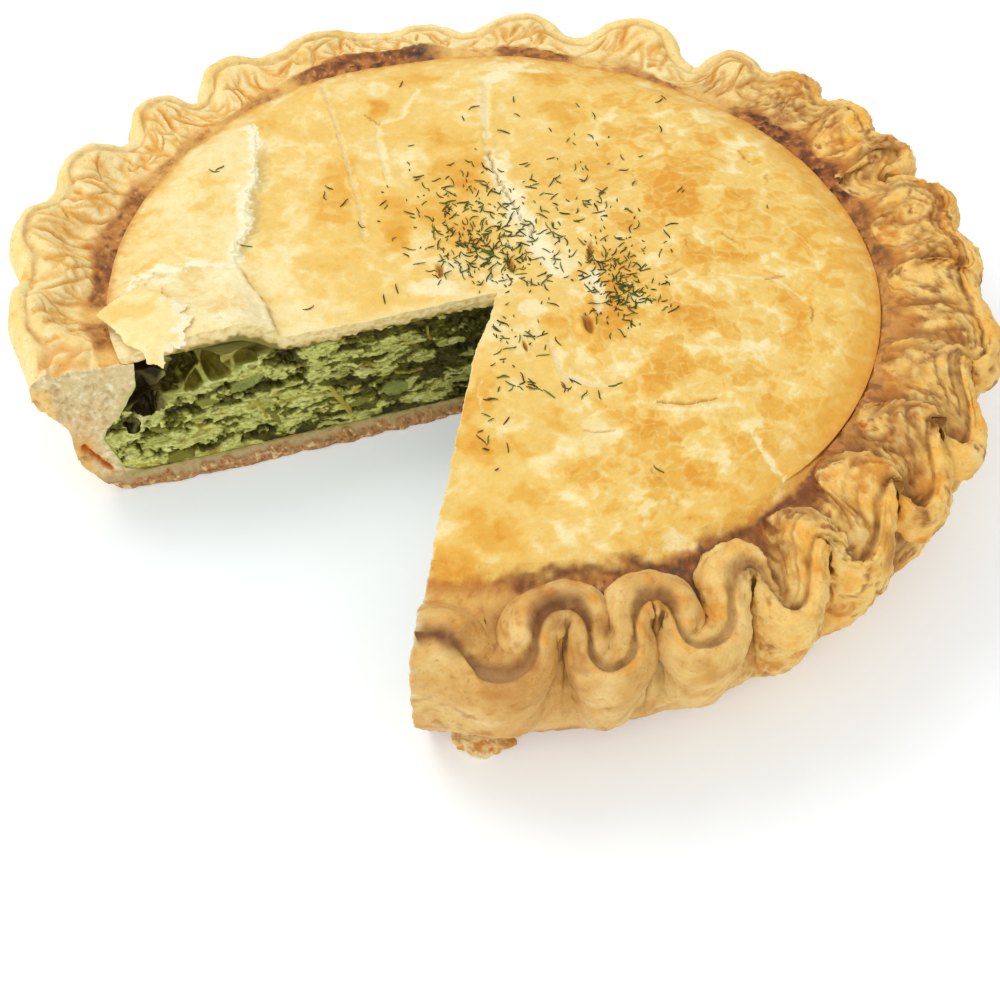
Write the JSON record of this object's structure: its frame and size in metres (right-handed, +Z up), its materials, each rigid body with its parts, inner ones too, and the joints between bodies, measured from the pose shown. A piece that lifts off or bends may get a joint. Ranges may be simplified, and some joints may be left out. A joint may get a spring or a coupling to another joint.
{
  "type": "spinach pie",
  "caption": "Deep round double-crust spinach and cheese pie with a crimped rim, one slice taken out to show its filling, and dill on the lid.",
  "frame": {"origin": "the underside of the base, on the axis of the round lid", "axes": "+Z up; the missing slice opens towards -Y; +X to the right of the slice as it is faced"},
  "size_m": [0.256, 0.2573, 0.0489],
  "materials": {
    "pastry_shell": "baked shortcrust, pale gold with brown folds",
    "spinach_filling": "moist cooked spinach with pale cheese",
    "top_crust": "baked pastry, pale gold with darker blotches, scattered with dill"
  },
  "bodies": {
    "root": {"pastry_shell": "pastry_shell", "spinach_filling": "spinach_filling", "top_crust": "top_crust"}
  },
  "joints": []
}
